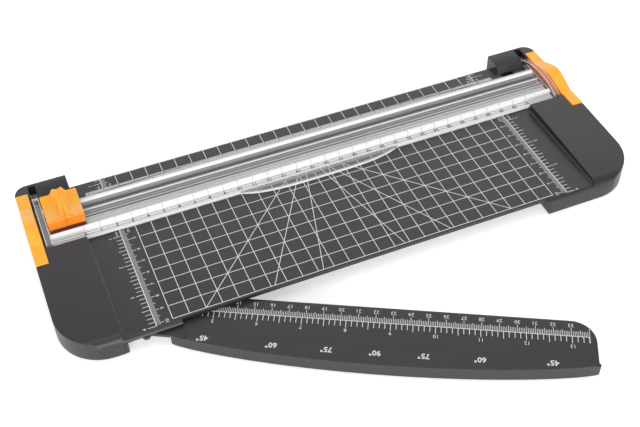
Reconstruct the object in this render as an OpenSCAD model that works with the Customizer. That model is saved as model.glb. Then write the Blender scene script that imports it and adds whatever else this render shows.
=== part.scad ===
// Desk paper cutter: a flat base with two end blocks, a clear hinged rail over the
// cut line, a press-down blade slider that runs along the rail, and a ruler that
// swings out from under the front edge.
// The origin is on the table plane, below the middle of the cut line.
// +X runs along the cut, +Y points away from the user and +Z is up.

/* [Base] */
// Length over both end blocks
length = 376.8; // [360:0.2:400]
// Clear length between the end blocks, which is the longest cut
cut_length = 309.2; // [300:0.2:320]
// Front edge of the mat, measured from the cut line
mat_front = 101.4; // [100:0.2:103]
// Rear edge of the mat, measured from the cut line
mat_rear = 30; // [29:0.5:33]
// Height of the mat's top face above the table
mat_top = 13; // [13:0.1:13.4]
// Thickness of the mat plate
mat_plate = 3; // [2.9:0.1:3.1]
// Height of the moulding above the table, on its feet
ground_gap = 1; // [0.8:0.1:1.2]

/* [End blocks] */
// Front face of the end blocks, measured from the cut line
block_front = 104.4; // [104:0.2:106]
// Rear face of the end blocks, measured from the cut line
block_rear = 37.4; // [36:0.2:40]
// Height of the end blocks beside the rail
block_top = 18; // [17:0.2:19]
// Radius of the front outer corners
front_radius = 28; // [20:1:30]
// Radius of the rear outer corners
rear_radius = 8; // [5:1:10]
// Wall thickness of the moulding
wall = 2.2; // [1.8:0.1:2.4]

/* [End caps] */
// Thickness of the cap along the cutter
cap_width = 7.9; // [7:0.1:7.9]
// Front end of the cap
cap_front = 34.2; // [32:0.2:35]
// Rear end of the cap
cap_rear = 29.3; // [28.5:0.1:29.3]
// Rise of the hump over the block at the outer face
hump_outer = 5.6; // [4:0.2:7]
// Rise of the hump over the block at the inner face
hump_inner = 3; // [2:0.2:6]

/* [Rail] */
// Height of the rail's underside at rest
rail_under = 13.2; // [13.2:0.1:13.4]
// Thickness of the rail's plate
rail_plate = 1.8; // [1.6:0.1:1.8]
// Front edge of the rail
rail_front = 20; // [19:0.2:20.5]
// Depth of the finger lip in front of that edge
lip_depth = 6.8; // [4:0.2:8]
// Half of the finger lip's length
lip_half = 55; // [40:1:60]
// Thickness of the finger lip
lip_plate = 1; // [0.8:0.1:1.8]
// Thickness of the end plates
end_plate = 4; // [3.6:0.1:4]
// Peak height of the end plates
end_peak = 22.6; // [21:0.2:23]
// Radius of the end plates' upper edge
end_radius = 50; // [48:1:52]

/* [Slider] */
// Length of the slider along the rail
slider_long = 23; // [22:0.2:23.4]
// Front face of the slider
slider_front = 8.8; // [8.6:0.1:9]
// Rear face of the slider
slider_rear = 15.6; // [15.4:0.1:16]
// Height of the slider's wings
wing_top = 25; // [24.6:0.1:25.4]
// Height of the slider's grip
grip_top = 29; // [28.4:0.1:29.6]
// How far the grip presses down
press_travel = 2.2; // [2:0.1:2.2]

/* [Ruler] */
// Swing of the ruler away from its parked place, as shown
ruler_swing = 28.47; // [0:0.01:90]
// Distance from the pivot to the free end
ruler_reach = 251.2; // [240:0.2:251.2]
// Distance from the pivot to the inner edge
ruler_inner = 13.1; // [12:0.1:13.1]
// Distance from the pivot to the outer edge at both ends
ruler_outer = 17.6; // [17:0.1:17.6]
// How far the outer edge bows out in the middle
ruler_bow = 11.2; // [6:0.2:14]
// Height of the ruler's top face
ruler_top = 9.6; // [9.4:0.1:9.6]

/* [Hidden] */
$fn = 48;
skin = 0.1;

charcoal = [0.25, 0.25, 0.265];
orange = [1.0, 0.6, 0.16];
clear = [0.86, 0.88, 0.9, 0.45];
steel = [0.72, 0.73, 0.75];
black_rubber = [0.08, 0.08, 0.08];

half_long = length / 2;
half_cut = cut_length / 2;
mat_under = mat_top - mat_plate;

// Rail well between the front and rear parts of each end block
well_front = 21.8;
well_rear = 20.3;
well_floor = mat_top - 0.6;
ramp_rear = 26.2;

// Hinge of the rail: pins across a slot in each rear block
hinge_y = 31;
hinge_z = 9.5;
pin_r = 1.5;
pin_fit = 0.05;
arm_in = half_cut + 20.5;
slot_side = 0.2;
boss_r = 4;
slot_floor = 4.4;
slot_rear = 35.6;

// Ruler pivot, and the bay that the ruler parks in
pivot_x = -half_cut + 23.5;
pivot_y = -86.7;
boss_pivot_r = 5;
hub_r = (ruler_inner + ruler_outer + 0.5) / 2;
hub_y = ruler_inner - hub_r;
bay_left = pivot_x - 21.3;
bay_right = pivot_x + ruler_reach + 1.8;
bay_rear = 70;
lip_end_x = pivot_x + 11.4;

// Cutting strip under the blade
strip_half = 171;
strip_wide = 5;
strip_deep = 1.8;
blade_slit = 0.6;

cap_in = half_long - cap_width;
cap_floor = 3.5;
cap_screw_y = [-26, 21];
// Place of each foot, and the height its boss reaches
feet = [
    [-half_cut - 15, -84, mat_top - 0.3], [half_cut + 15, -84, mat_top - 0.3],
    [-half_cut - 7.2, 28, mat_top + 0.3], [half_cut + 7.2, 28, mat_top + 0.3],
    [0, 0, mat_under + 0.1]
];
foot_r = 5.6;

// Slider at the left end of the rail
slider_x = -arm_in + 0.5 + slider_long / 2;
rib_top = rail_under + 3.8;
plate_top = rail_under + rail_plate;
spring_at = [-7, 7];
spring_y = 5.55;

// A prism that runs along X from x0 to x1, drawn by its outline in Y and Z
module along_x(x0, x1) {
    translate([x0, 0, 0]) rotate([90, 0, 90]) linear_extrude(x1 - x0) children();
}

// What a round corner leaves over: (x, y) is the square corner, (sx, sy) points outwards
module corner_waste(x, y, r, sx, sy) {
    translate([x - sx * r, y - sy * r]) difference() {
        translate([sx > 0 ? 0 : -r - 1, sy > 0 ? 0 : -r - 1]) square(r + 1);
        circle(r, $fn = 96);
    }
}

// Base moulding with its end blocks

module block_plan() {
    difference() {
        translate([half_cut, -block_front])
            square([half_long - half_cut, block_front + block_rear]);
        corner_waste(half_long, -block_front, front_radius, 1, -1);
        corner_waste(half_long, block_rear, rear_radius, 1, 1);
    }
}

module block_side() {
    roll = 7;
    roll_arc = [for (a = [180:-15:105]) [-block_front + roll + roll * cos(a), mat_top - 4.2 + roll * sin(a)]];
    polygon(concat(
        [[-block_front, ground_gap]],
        roll_arc,
        [
            [-75, block_top - 1.4], [-well_front, block_top], [-well_front, well_floor],
            [well_rear, well_floor], [well_rear, mat_top], [ramp_rear, block_top],
            [block_rear, block_top], [block_rear, ground_gap]
        ]
    ));
}

module block_pockets() {
    inner = half_cut + wall;
    translate([0, 0, -1]) linear_extrude(mat_top + 0.4) difference() {
        translate([inner, -block_front + wall])
            square([half_long - wall - inner, block_front - wall - cap_front - wall]);
        corner_waste(half_long - wall, -block_front + wall, front_radius - wall, 1, -1);
    }
    translate([inner, -cap_front - wall - skin, -1])
        cube([cap_in - wall - inner, cap_front + wall + 17, 10.5]);
    translate([inner, 18, -1]) cube([9, block_rear - wall - 18, 14]);
}

module end_block() {
    difference() {
        intersection() {
            linear_extrude(40) block_plan();
            along_x(half_cut, half_long + 1) block_side();
        }
        block_pockets();
    }
    // Fillet where the mat meets the wall of the block
    fillet = 1.4;
    arc = [for (a = [360:-18:270]) [fillet * (cos(a) - 1), fillet * (1 + sin(a))]];
    translate([half_cut, -well_front, mat_top]) rotate([90, 0, 0])
        linear_extrude(block_front - well_front - 3.5)
            polygon(concat([[skin, -skin], [skin, fillet]], arc, [[-fillet, -skin]]));
}

module edge_lip(x0, x1, low) {
    difference() {
        along_x(x0, x1) polygon([
            [-mat_front + 2, mat_top], [-mat_front - 0.4, mat_top], [-mat_front - 1.9, mat_top - 0.5],
            [-block_front, mat_top - 2], [-block_front, low], [-block_front + wall, low],
            [-block_front + wall, mat_under], [-mat_front + 2, mat_under]
        ]);
        if (low > mat_under - skin)
            linear_extrude(40) corner_waste(x1, -block_front, 3, 1, -1);
    }
}

module base_walls() {
    high = mat_top - ground_gap - skin;
    translate([-half_cut - 1, mat_rear - wall, ground_gap])
        cube([cut_length + 2, wall, high]);
    translate([bay_left - wall, -bay_rear, ground_gap])
        cube([bay_right - bay_left + 2 * wall, wall, high]);
    translate([bay_right, -block_front + wall - skin, ground_gap])
        cube([wall, block_front - bay_rear, high]);
    translate([bay_left - wall, -block_front + 0.3, ground_gap])
        cube([wall, block_front - bay_rear, high]);
}

module base_ribs() {
    rib = 1.6;
    rib_low = 3;
    for (x = [-120:40:120])
        translate([x - rib / 2, -bay_rear + skin, rib_low])
            cube([rib, bay_rear + mat_rear - 1, mat_under - rib_low + skin]);
    for (y = [-36, 15])
        translate([-half_cut, y - rib / 2, rib_low])
            cube([cut_length, rib, mat_under - rib_low + skin]);
    translate([-half_cut - 19, -4.5, mat_under - 1.5])
        cube([cut_length + 38, 9, 1.5 + skin]);
}

module base_shell() {
    color(charcoal) difference() {
        union() {
            translate([-half_cut - 1, -mat_front, mat_under])
                cube([cut_length + 2, mat_front + mat_rear, mat_plate]);
            edge_lip(-half_cut - 1, lip_end_x, mat_under - skin);
            edge_lip(bay_right, half_cut + 1, ground_gap);
            base_walls();
            base_ribs();
            end_block();
            mirror([1, 0, 0]) end_block();
            translate([pivot_x, pivot_y, 4]) cylinder(r = boss_pivot_r, h = mat_under - 4 + skin);
            for (p = feet)
                translate([p[0], p[1], ground_gap]) cylinder(r = foot_r + 1.5, h = p[2] - ground_gap);
        }
        translate([-strip_half, -strip_wide / 2, mat_top - strip_deep])
            cube([2 * strip_half, strip_wide, 4]);
        for (s = [-1, 1]) scale([s, 1, 1]) {
            translate([cap_in - skin, -cap_front - skin, cap_floor - skin])
                cube([cap_width + 2, cap_front + cap_rear + 2 * skin, 20]);
            translate([arm_in - slot_side, well_rear - 1, slot_floor])
                cube([end_plate + 2 * slot_side, slot_rear - well_rear + 1, 20]);
            along_x(half_cut + 12, half_long - 1.4) translate([hinge_y, hinge_z]) circle(pin_r);
            for (y = cap_screw_y) translate([half_long - cap_width / 2, y, 0]) {
                cylinder(r = 1.6, h = 5);
                cylinder(r = 2.8, h = ground_gap + 1.3);
            }
        }
        for (p = feet) translate([p[0], p[1], 0]) cylinder(r = foot_r, h = ground_gap + 1.2);
        translate([pivot_x, pivot_y, 0]) cylinder(r = 2, h = 9);
    }
}

module cutting_strip() {
    color([0.62, 0.63, 0.65]) difference() {
        translate([-strip_half, -strip_wide / 2, mat_top - strip_deep])
            cube([2 * strip_half, strip_wide, strip_deep]);
        translate([-strip_half - 1, -blade_slit, mat_top - 1.4])
            cube([2 * strip_half + 2, 2 * blade_slit, 3]);
    }
}

// Height of the cap's top edge at y, for a hump that rises by h
function cap_edge(y, h) =
    let (t = (y + 1.5) / 18)
    block_top + 0.2 + (abs(t) < 1 ? h * pow(1 - t * t, 1.5) : 0);

module cap_body() {
    n = 40;
    ys = [for (i = [0:n]) -cap_front + (cap_front + cap_rear) * i / n];
    low = cap_floor;
    inner = concat(
        [for (y = ys) [cap_in, y, cap_edge(y, hump_inner)]],
        [for (y = ys) [cap_in, y, low]]
    );
    outer = concat(
        [for (y = ys) [half_long, y, cap_edge(y, hump_outer)]],
        [for (y = ys) [half_long, y, low]]
    );
    m = n + 1;
    o = 2 * m;
    polyhedron(
        points = concat(inner, outer),
        faces = concat(
            [for (i = [0:n - 1]) [i, i + 1, o + i + 1]],
            [for (i = [0:n - 1]) [i, o + i + 1, o + i]],
            [for (i = [0:n - 1]) [m + i, m + i + 1, i + 1, i]],
            [for (i = [0:n - 1]) [o + i, o + i + 1, o + m + i + 1, o + m + i]],
            [for (i = [0:n - 1]) [m + i + 1, m + i, o + m + i, o + m + i + 1]],
            [[m, 0, o, o + m]],
            [[m + n, o + m + n, o + n, n]]
        )
    );
}

module end_cap() {
    color(orange) difference() {
        cap_body();
        for (y = cap_screw_y)
            translate([half_long - cap_width / 2, y, cap_floor - 1]) cylinder(r = 1.4, h = 7);
    }
}

module end_cap_left() { mirror([1, 0, 0]) end_cap(); }
module end_cap_right() { end_cap(); }

module cap_screws() {
    color(steel) for (s = [-1, 1], y = cap_screw_y)
        translate([s * (half_long - cap_width / 2), y, 0]) {
            translate([0, 0, ground_gap + 0.2]) cylinder(r = 2.6, h = 1);
            translate([0, 0, ground_gap + 1]) cylinder(r = 1.38, h = 7);
        }
}

module foot(i) {
    color(black_rubber) translate([feet[i][0], feet[i][1], 0]) {
        cylinder(r1 = foot_r - 0.5, r2 = foot_r - 0.05, h = 0.5);
        translate([0, 0, 0.5]) cylinder(r = foot_r - 0.05, h = ground_gap + 0.7);
    }
}

module foot_front_left() { foot(0); }
module foot_front_right() { foot(1); }
module foot_rear_left() { foot(2); }
module foot_rear_right() { foot(3); }
module foot_middle() { foot(4); }

module hinge_pin() {
    color(steel) along_x(half_cut + 12.2, half_long - 1.6)
        translate([hinge_y, hinge_z]) circle(pin_r - 0.02);
}

module hinge_pin_left() { mirror([1, 0, 0]) hinge_pin(); }
module hinge_pin_right() { hinge_pin(); }

// Ruler, drawn parked along +X with its pivot at the origin

ruler_mid = (ruler_reach + 12.6) / 2;
ruler_half = (ruler_reach - 11) / 2;
skirt_start = ruler_mid - ruler_half;
skirt_low = 1.2;
ruler_plate = 2.2;

function bow(a) =
    let (t = min(1, abs(a - ruler_mid) / ruler_half))
    -ruler_outer - ruler_bow * pow(1 - t * t, 0.75);

bow_steps = 40;
bow_line = [for (i = [0:bow_steps])
    let (t = -cos(180 * i / bow_steps), a = ruler_mid + ruler_half * t) [a, bow(a)]];

module ruler_plan() {
    difference() {
        polygon(concat(
            [[0, ruler_inner], [0, -ruler_outer - 0.5], [skirt_start, -ruler_outer - 0.5]],
            bow_line,
            [[ruler_reach, -ruler_outer], [ruler_reach, ruler_inner]]
        ));
        corner_waste(ruler_reach, ruler_inner, 14, 1, 1);
    }
    translate([0, hub_y]) circle(hub_r, $fn = 96);
    translate([-1.6, -18.6]) circle(2.5);
}

module ruler_bevel() {
    deep = 0.7;
    run = 1.6;
    low = ruler_top - deep;
    translate([0, ruler_inner, 0]) along_x(-1, ruler_reach - 14)
        polygon([[-run, ruler_top + skin], [1, ruler_top + skin], [1, low], [0, low], [-run, ruler_top]]);
    translate([ruler_reach - 14, ruler_inner - 14, 0]) intersection() {
        rotate_extrude($fn = 96) polygon([[14 - run, ruler_top + skin], [15, ruler_top + skin],
            [15, low], [14, low], [14 - run, ruler_top]]);
        translate([0, 0, low - 1]) cube([16, 16, 4]);
    }
    translate([ruler_reach, 0, 0]) rotate([90, 0, 0]) linear_extrude(ruler_outer - 0.4)
        polygon([[-run, ruler_top + skin], [1, ruler_top + skin], [1, low], [0, low], [-run, ruler_top]]);
}

module ruler_skirt() {
    inset = [for (i = [bow_steps:-1:0]) [
        min(ruler_reach - 1.2, max(skirt_start + 2, bow_line[i][0])), bow_line[i][1] + 2]];
    translate([0, 0, skirt_low]) linear_extrude(ruler_top - skirt_low - skin)
        polygon(concat(bow_line, [[ruler_reach + 0.8, -ruler_outer + 1]], inset));
}

// Band along the bowed edge; it starts clear of the mat's underside
module ruler_rise() {
    rise = 0.8;
    flat = -ruler_outer + 0.6;
    start = skirt_start + 8;
    edge = [for (p = bow_line) if (p[0] > start && p[0] < ruler_reach - 1) p];
    translate([0, 0, ruler_top - skin]) linear_extrude(rise + skin)
        polygon(concat(edge, [[ruler_reach - 1, flat], [start, flat]]));
}

module swing_ruler() {
    color(charcoal) translate([pivot_x, pivot_y, 0]) rotate([0, 0, -ruler_swing]) difference() {
        union() {
            difference() {
                translate([0, 0, ruler_top - ruler_plate]) linear_extrude(ruler_plate) ruler_plan();
                ruler_bevel();
            }
            ruler_skirt();
            ruler_rise();
            translate([0, 0, 4.2]) cylinder(r = 9, h = ruler_top - 4.2 - skin);
            for (a = [40:35:220])
                translate([a, -ruler_outer - 1, 4.4]) cube([1.4, ruler_outer + ruler_inner - 2, 3.2]);
            translate([12, ruler_inner - 3.4, 4.4]) cube([ruler_reach - 30, 1.4, 3.2]);
        }
        translate([0, 0, 2]) cylinder(r = boss_pivot_r + pin_fit, h = 12);
    }
}

module ruler_washer() {
    color(steel) translate([pivot_x, pivot_y, 3]) difference() {
        cylinder(r = 9, h = 1);
        translate([0, 0, -1]) cylinder(r = 2.2, h = 3);
    }
}

module ruler_screw() {
    color(steel) translate([pivot_x, pivot_y, 0]) {
        translate([0, 0, 1.6]) cylinder(r = 3.8, h = 1.4);
        translate([0, 0, 2]) cylinder(r = 1.98, h = 6.8);
    }
}

// Clear rail

module rail_section() {
    translate([-rail_front, rail_under]) square([rail_front + 18.5, rail_plate]);
    // Front bead
    translate([-14.5, rail_under]) square([3, 3.7]);
    translate([-13, rail_under + 3.7]) circle(1.5);
    // Guide ribs on each side of the blade slot, with undercut lips
    translate([-5, rail_under]) square([2, 3.8]);
    translate([-5.8, rib_top - 0.7]) square([2, 0.7]);
    translate([2, rail_under]) square([1.2, 3.8]);
    // Rear bead
    intersection() {
        translate([11, rail_under + 1.2]) circle(3.4);
        translate([5, rail_under]) square([12, 8]);
    }
}

module finger_lip() {
    n = 48;
    edge = [for (i = [0:n])
        let (t = -cos(180 * i / n))
        [lip_half * t, -rail_front - lip_depth * pow(1 - pow(abs(t), 3.5), 0.8)]];
    translate([0, 0, rail_under]) linear_extrude(lip_plate)
        polygon(concat(edge, [[lip_half, -rail_front + 1], [-lip_half, -rail_front + 1]]));
}

module rail_bar() {
    color(clear) difference() {
        union() {
            along_x(-arm_in, arm_in) rail_section();
            finger_lip();
        }
        translate([-arm_in + 2, -blade_slit, 0]) cube([2 * arm_in - 4, 2 * blade_slit, 40]);
        for (s = [-1, 1]) scale([s, 1, 1])
            translate([half_cut - 8.2, 14.6, 0]) cube([40, 10, 40]);
    }
}

module rail_end() {
    color(clear) along_x(arm_in, arm_in + end_plate) difference() {
        union() {
            intersection() {
                translate([1.5, end_peak - end_radius]) circle(end_radius, $fn = 192);
                translate([-rail_front, rail_under]) square([rail_front + hinge_y - 1, 20]);
            }
            translate([hinge_y, hinge_z]) circle(boss_r);
            polygon([
                [hinge_y - 9, rail_under + skin], [hinge_y - 4, hinge_z],
                [hinge_y + 4, hinge_z], [hinge_y - 1, rail_under + skin]
            ]);
        }
        translate([hinge_y, hinge_z]) circle(pin_r + pin_fit);
    }
}

module rail_end_left() { mirror([1, 0, 0]) rail_end(); }
module rail_end_right() { rail_end(); }

// Slider with its grip, springs and blade

module slider_shoe() {
    shoe = slider_long - 3;
    color([0.23, 0.1, 0.09]) translate([slider_x, 0, 0]) difference() {
        union() {
            translate([-shoe / 2, -slider_front + 1.5, rail_under + 4.9])
                cube([shoe, slider_front + slider_rear - 3, 1.8]);
            // Front runner, with a toe under the lip of the guide rib
            translate([-shoe / 2, -slider_front + 1.5, plate_top + 0.3]) cube([shoe, 1.1, 4]);
            translate([-shoe / 2, -slider_front + 1.5, plate_top + 0.3]) cube([shoe, 1.8, 0.7]);
            // Keel between the guide ribs
            translate([-shoe / 2, -2.6, plate_top + 0.3]) cube([shoe, 4.2, 4]);
            // Rear runner, which carries the springs
            translate([-shoe / 2, 3.5, plate_top + 0.3]) cube([shoe, 4.1, 4]);
        }
        translate([-6.5, -1.25, 0]) cube([13, 2.5, 40]);
        for (x = spring_at)
            translate([x, spring_y, plate_top + 0.8]) cylinder(r = 1.6, h = 20);
    }
}

// One turn after another of round wire, swept as a closed tube
module coil(r, wire, z0, z1, turns) {
    sides = 6;
    per_turn = 12;
    n = turns * per_turn;
    ring = [for (i = [0:n], k = [0:sides - 1])
        let (a = 360 * i / per_turn, b = 360 * k / sides, q = r + wire * cos(b))
        [q * cos(a), q * sin(a), z0 + wire + (z1 - z0 - 2 * wire) * i / n + wire * sin(b)]];
    skin_faces = [for (i = [0:n - 1], k = [0:sides - 1])
        let (p = i * sides + k, q = i * sides + (k + 1) % sides)
        each [[p, q + sides, q], [p, p + sides, q + sides]]];
    ends = [[for (k = [0:sides - 1]) k], [for (k = [sides - 1:-1:0]) n * sides + k]];
    polyhedron(points = ring, faces = concat(skin_faces, ends));
}

grip_inside = wing_top - 2.3;

module spring(i) {
    color(steel) translate([slider_x + spring_at[i], spring_y, 0])
        coil(1.15, 0.2, plate_top + 0.85, grip_inside - 0.05, 6);
}

module spring_left() { spring(0); }
module spring_right() { spring(1); }

// Height of the wings at y: a shallow scoop that rolls over at the front edge
function wing(y) =
    let (t = (y + slider_front) / (slider_front + slider_rear), f = max(0, 1 - t / 0.06))
    wing_top - 1.3 * sin(180 * min(1, max(0, (t - 0.05) / 0.95))) - 0.6 * f * f;

// Half width of the grip's top at y, pinched behind the middle
function waist(y) =
    y > 4 ? 2 + 1.2 * pow((y - 4) / 11.6, 2) : 2 + 2.6 * pow((4 - y) / 12.8, 2.5);

// Width of the flank that falls from the grip's top to the wing
function flank(y) = 2.2 - 0.05 * max(0, y);

// Rise of the grip over the wings: a steep front, then a slow climb to the rear
function rise(y) =
    y < -3.5 ? 2.8 * (1 - pow((-3.5 - y) / (slider_front - 3.5), 1.6))
    : 2.8 + (grip_top - wing_top - 2.8) * pow((y + 3.5) / (slider_rear + 3.5), 0.8);

// Groove along the top, which opens towards the rear
function groove(x, y) =
    let (w = 0.4 + max(0, y) * 0.1, d = abs(x) / w)
    d < 1 ? (0.25 + 0.06 * max(0, y)) * (1 - d * d) : 0;

// Columns of the grip's surface: 4 steps of top, 5 of flank and 3 of wing on each side
function column_x(k, y) =
    k < 5 ? waist(y) * k / 4
    : k < 10 ? waist(y) + flank(y) * (k - 4) / 5
    : let (a = waist(y) + flank(y)) a + (slider_long / 2 - a) * (k - 9) / 3;

function grip_point(i, y) =
    let (
        k = abs(i - 12),
        x = (i < 12 ? -1 : 1) * column_x(k, y),
        fall = k < 5 ? 1 : k < 10 ? pow(1 - (k - 4) / 5, 2) : 0
    )
    [x, y, wing(y) + fall * (rise(y) - groove(x, y))];

module grip_solid() {
    nx = 24;
    ny = 24;
    low = plate_top + 3;
    ys = [for (j = [0:ny]) -slider_front + (slider_front + slider_rear) * j / ny];
    top_points = [for (y = ys, i = [0:nx]) grip_point(i, y)];
    low_points = [for (y = [ys[0], ys[ny]], i = [0:nx]) [grip_point(i, y)[0], y, low]];
    w = nx + 1;
    n = w * (ny + 1);
    function at(i, j) = j * w + i;
    polyhedron(
        points = concat(top_points, low_points),
        faces = concat(
            [for (j = [0:ny - 1], i = [0:nx - 1]) [at(i, j), at(i, j + 1), at(i + 1, j + 1)]],
            [for (j = [0:ny - 1], i = [0:nx - 1]) [at(i, j), at(i + 1, j + 1), at(i + 1, j)]],
            [for (i = [0:nx - 1]) [n + i, n + i + 1, n + w + i + 1, n + w + i]],
            [for (i = [0:nx - 1]) [n + i, at(i, 0), at(i + 1, 0), n + i + 1]],
            [for (i = [0:nx - 1]) [n + w + i + 1, at(i + 1, ny), at(i, ny), n + w + i]],
            [for (j = [0:ny - 1]) [n, at(0, j + 1), at(0, j)]], [[n, n + w, at(0, ny)]],
            [for (j = [0:ny - 1]) [n + nx, at(nx, j), at(nx, j + 1)]],
            [[n + nx, at(nx, ny), n + w + nx]]
        )
    );
}

module slider_grip() {
    inside = slider_long - 2.6;
    color(orange) translate([slider_x, 0, 0]) difference() {
        grip_solid();
        translate([-inside / 2, -slider_front + 1.2, 0])
            cube([inside, slider_front + slider_rear - 2.4, grip_inside]);
        // The side walls stay clear of the rail's beads when the grip is pressed
        translate([-slider_long, -slider_front + 1.2, 0])
            cube([2 * slider_long, slider_front + slider_rear - 2.4, rail_under + 7.4]);
        translate([-0.25, -slider_front - 1, 0]) cube([0.5, 1.6, wing_top - 1.6]);
    }
}

module blade_holder() {
    color([0.2, 0.2, 0.2]) translate([slider_x, 0, 0]) difference() {
        translate([-6, -1, plate_top + 2.2]) cube([12, 2, grip_inside - plate_top - 2.2]);
        translate([-5, -0.3, 0]) cube([10, 0.6, plate_top + 5.7]);
        translate([0, 0, plate_top + 4]) rotate([90, 0, 0]) cylinder(r = 0.9, h = 6, center = true);
    }
}

module blade() {
    color(steel) translate([slider_x, 0, 0]) rotate([90, 0, 0]) translate([0, 0, -0.25])
        linear_extrude(0.5) difference() {
            polygon([
                [-4.6, plate_top + 5.5], [-4.6, plate_top + 1.4], [0, rail_under + 0.9],
                [4.6, plate_top + 1.4], [4.6, plate_top + 5.5]
            ]);
            translate([0, plate_top + 4]) circle(0.9);
        }
}

module blade_rivet() {
    color(steel) translate([slider_x, 0, plate_top + 4]) rotate([90, 0, 0])
        cylinder(r = 0.88, h = 2, center = true);
}

base_shell();
cutting_strip();
end_cap_left();
end_cap_right();
cap_screws();
foot_front_left();
foot_front_right();
foot_rear_left();
foot_rear_right();
foot_middle();
hinge_pin_left();
hinge_pin_right();
ruler_screw();
ruler_washer();
swing_ruler();
rail_bar();
rail_end_left();
rail_end_right();
slider_shoe();
spring_left();
spring_right();
slider_grip();
blade_holder();
blade();
blade_rivet();
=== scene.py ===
"""A desk paper cutter with a sliding blade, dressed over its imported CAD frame."""

import math

import bmesh
import bpy
from mathutils import Matrix, Vector
from mathutils.bvhtree import BVHTree


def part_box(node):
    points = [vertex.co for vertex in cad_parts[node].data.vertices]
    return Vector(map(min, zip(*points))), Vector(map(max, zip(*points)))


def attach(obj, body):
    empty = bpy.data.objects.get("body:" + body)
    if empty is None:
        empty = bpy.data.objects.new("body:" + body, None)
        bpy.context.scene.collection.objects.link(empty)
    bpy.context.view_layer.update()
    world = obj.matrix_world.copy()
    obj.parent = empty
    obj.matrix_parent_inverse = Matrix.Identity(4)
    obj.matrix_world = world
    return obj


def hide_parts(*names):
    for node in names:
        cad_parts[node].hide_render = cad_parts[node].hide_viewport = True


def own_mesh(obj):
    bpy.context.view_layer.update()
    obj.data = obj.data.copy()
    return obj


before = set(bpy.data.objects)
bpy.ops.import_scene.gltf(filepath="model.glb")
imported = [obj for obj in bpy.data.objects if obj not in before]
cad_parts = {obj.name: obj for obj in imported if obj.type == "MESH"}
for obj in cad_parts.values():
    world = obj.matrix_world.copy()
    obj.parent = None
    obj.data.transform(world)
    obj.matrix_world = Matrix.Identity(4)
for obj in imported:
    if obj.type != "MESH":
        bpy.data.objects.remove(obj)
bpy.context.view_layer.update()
scene = bpy.context.scene
scene.view_settings.view_transform = "Standard"


# Where the cutter is photographed: on a white sheet, in soft light from a wide
# panel behind it, one above it and one low in front, with a camera up at the
# front left.

MM = 0.001


def look_matrix(right, down, forward, place):
    """The camera's matrix from its own three directions and its place in millimetres."""
    columns = [Vector(right), -Vector(down), -Vector(forward)]
    turn = Matrix(columns).transposed().to_4x4()
    return Matrix.Translation(Vector(place) * MM) @ turn


camera_data = bpy.data.cameras.new("camera")
camera_data.sensor_fit = "HORIZONTAL"
camera_data.sensor_width = 36.0
camera_data.lens = 58.594
camera_data.clip_start = 0.01
camera = bpy.data.objects.new("camera", camera_data)
camera.matrix_world = look_matrix(
    right=(0.92285544, -0.38475855, -0.01728275),
    down=(-0.28591773, -0.65433672, -0.70006751),
    forward=(0.25804822, 0.65100255, -0.71386749),
    place=(-183.229, -479.174, 476.712),
)
scene.collection.objects.link(camera)
scene.camera = camera


def feed(tree, socket, value):
    """Gives a socket another node's output or a plain value."""
    if isinstance(value, bpy.types.NodeSocket):
        tree.links.new(value, socket)
    else:
        socket.default_value = value


def sum_of(tree, operation, *values):
    """The output of one sum on other nodes' outputs or plain numbers."""
    step = tree.nodes.new("ShaderNodeMath")
    step.operation = operation
    for socket, value in zip(step.inputs, values):
        feed(tree, socket, value)
    return step.outputs[0]


def remapped(tree, value, span=(0.0, 1.0), to=(0.0, 1.0)):
    """A value moved from one span to another and held at its ends."""
    change = tree.nodes.new("ShaderNodeMapRange")
    for name, bound in zip(("From Min", "From Max", "To Min", "To Max"), (*span, *to)):
        feed(tree, change.inputs[name], bound)
    tree.links.new(value, change.inputs["Value"])
    return change.outputs["Result"]


WHITE = (1.0, 1.0, 1.0, 1.0)
SIDE_LIGHT, OVERHEAD_LIGHT = 1.0, 0.4
SIDES_END, OVERHEAD_START = 0.22, 0.62


def white_room():
    """A room that is white at the horizon and dimmer overhead, where only lamps are."""
    world = bpy.data.worlds.new("white_room")
    scene.world = world
    world.use_nodes = True
    tree = world.node_tree
    split = tree.nodes.new("ShaderNodeSeparateXYZ")
    tree.links.new(tree.nodes.new("ShaderNodeTexCoord").outputs["Generated"], split.inputs["Vector"])
    climb = remapped(
        tree, split.outputs["Z"], (SIDES_END, OVERHEAD_START), (SIDE_LIGHT, OVERHEAD_LIGHT)
    )
    climb.node.interpolation_type = "SMOOTHSTEP"
    rays = tree.nodes.new("ShaderNodeLightPath").outputs
    seen = sum_of(tree, "MAXIMUM", rays["Is Camera Ray"], rays["Is Transmission Ray"])
    background = tree.nodes["Background"]
    tree.links.new(sum_of(tree, "MAXIMUM", climb, seen), background.inputs["Strength"])
    background.inputs["Color"].default_value = WHITE


white_room()


def new_finish(name):
    """A new material, with its node tree and its shader."""
    material = bpy.data.materials.new(name)
    material.use_nodes = True
    return material, material.node_tree, material.node_tree.nodes["Principled BSDF"]


def fill(node, values):
    """Plain values for some of a node's own sockets."""
    for name, value in values.items():
        node.inputs[name].default_value = value


SHEET_WHITE = (0.86, 0.86, 0.86, 1.0)
SHEET_GLOW = 0.5


def white_sheet():
    """White paper that glows a little, but only as the camera, clear plastic or gloss sees it."""
    paper, tree, shader = new_finish("white_sheet")
    fill(shader, {
        "Base Color": SHEET_WHITE, "Roughness": 0.9, "Specular IOR Level": 0.1,
        "Emission Color": WHITE,
    })
    rays = tree.nodes.new("ShaderNodeLightPath").outputs
    seen_clear = sum_of(tree, "MAXIMUM", rays["Is Camera Ray"], rays["Is Transmission Ray"])
    seen_or_mirrored = sum_of(tree, "MAXIMUM", seen_clear, rays["Is Glossy Ray"])
    glow = remapped(tree, seen_or_mirrored, to=(0.0, SHEET_GLOW))
    tree.links.new(glow, shader.inputs["Emission Strength"])
    return paper


TABLE_HALF = 3.0

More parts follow.
